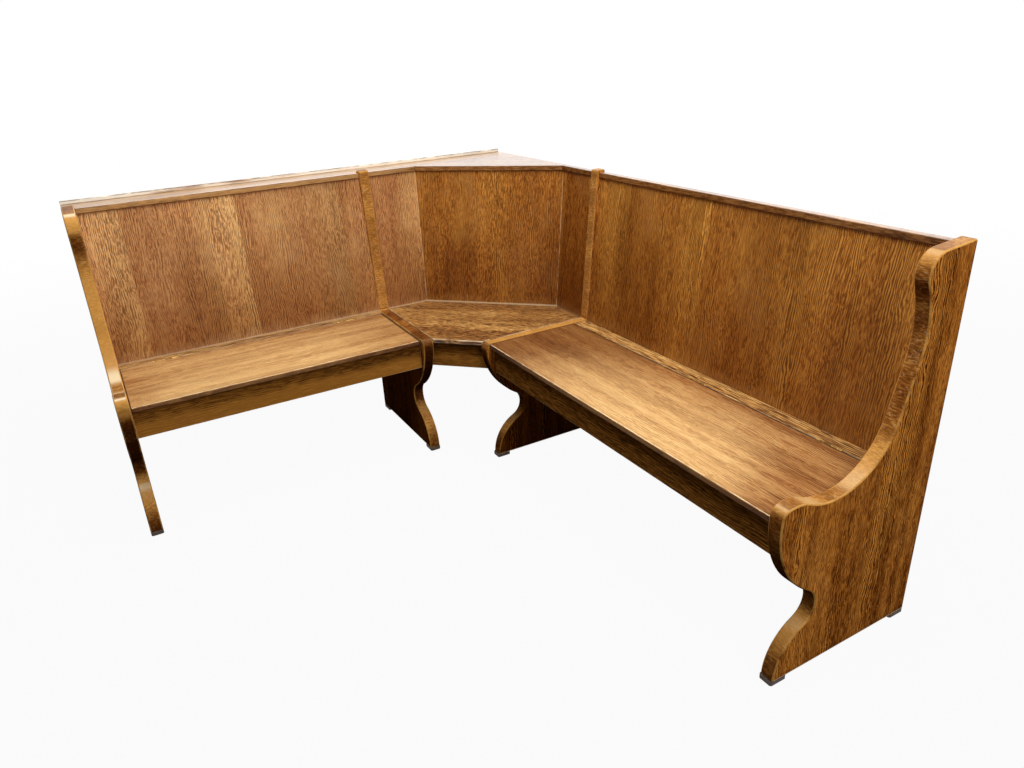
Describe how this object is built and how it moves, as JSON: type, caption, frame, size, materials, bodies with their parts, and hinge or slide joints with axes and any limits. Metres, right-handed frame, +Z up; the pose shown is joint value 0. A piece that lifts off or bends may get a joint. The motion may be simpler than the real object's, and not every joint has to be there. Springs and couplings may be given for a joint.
{
  "type": "corner bench",
  "caption": "Dark oak corner bench with shaped plank ends, leaning panel backs, lift-up seat lids over shallow boxes, an angled corner seat and a lipped ledge behind a back.",
  "frame": {"origin": "on the floor, at the middle of the whole set's bounding box", "axes": "+X runs along the right bench away from the corner, +Y points to the wall behind the right bench, +Z is up; the left bench runs along -Y and faces +X"},
  "size_m": [2.066, 1.645, 0.985],
  "materials": {
    "oak_end": "dark oak, satin varnish",
    "oak_panel": "oak veneer, satin varnish",
    "oak_cap": "dark oak, satin varnish",
    "oak_seat": "oak, worn satin varnish",
    "oak_apron": "dark oak, satin varnish",
    "oak_frame": "plain oak, not varnished",
    "foot_pad": "dark wood, worn",
    "hinge_brass": "dull",
    "bolt_steel": "zinc plated"
  },
  "bodies": {
    "frame": {"corner_apron": "oak_apron", "corner_back_centre": "oak_panel", "corner_back_left": "oak_panel", "corner_back_right": "oak_panel", "corner_cap_left": "oak_cap", "corner_cap_right": "oak_cap", "corner_cleat_left": "oak_frame", "corner_cleat_right": "oak_frame", "corner_rail_centre": "oak_frame", "corner_rail_left": "oak_frame", "corner_rail_right": "oak_frame", "corner_seat": "oak_seat", "corner_top": "oak_cap", "joining_bolts_left": "bolt_steel", "joining_bolts_right": "bolt_steel", "left_apron": "oak_apron", "left_back_panel": "oak_panel", "left_box_floor": "oak_frame", "left_cap": "oak_cap", "left_feet": "foot_pad", "left_hinge_pins": "hinge_brass", "left_hinge_strip_leaves": "hinge_brass", "left_inner_end": "oak_end", "left_ledge": "oak_cap", "left_ledge_brackets": "oak_frame", "left_ledge_lip": "oak_cap", "left_lid_cleats": "oak_frame", "left_outer_end": "oak_end", "left_rear_rail": "oak_frame", "left_seat_strip": "oak_seat", "right_apron": "oak_apron", "right_back_panel": "oak_panel", "right_box_floor": "oak_frame", "right_cap": "oak_cap", "right_feet": "foot_pad", "right_hinge_pins": "hinge_brass", "right_hinge_strip_leaves": "hinge_brass", "right_inner_end": "oak_end", "right_lid_cleats": "oak_frame", "right_outer_end": "oak_end", "right_rear_rail": "oak_frame", "right_seat_strip": "oak_seat"},
    "left_lid": {"left_hinge_lid_leaves": "hinge_brass", "left_lid": "oak_seat", "left_lid_battens": "oak_frame"},
    "right_lid": {"right_hinge_lid_leaves": "hinge_brass", "right_lid": "oak_seat", "right_lid_battens": "oak_frame"}
  },
  "joints": [
    {"name": "left_lid_hinge", "type": "hinge", "parent": "frame", "child": "left_lid", "pos_m": [-0.8145, -0.3115, 0.45], "axis": [0, -1, 0], "range_deg": [0, 100]},
    {"name": "right_lid_hinge", "type": "hinge", "parent": "frame", "child": "right_lid", "pos_m": [0.3635, 0.692, 0.45], "axis": [-1, 0, 0], "range_deg": [0, 105]}
  ]
}
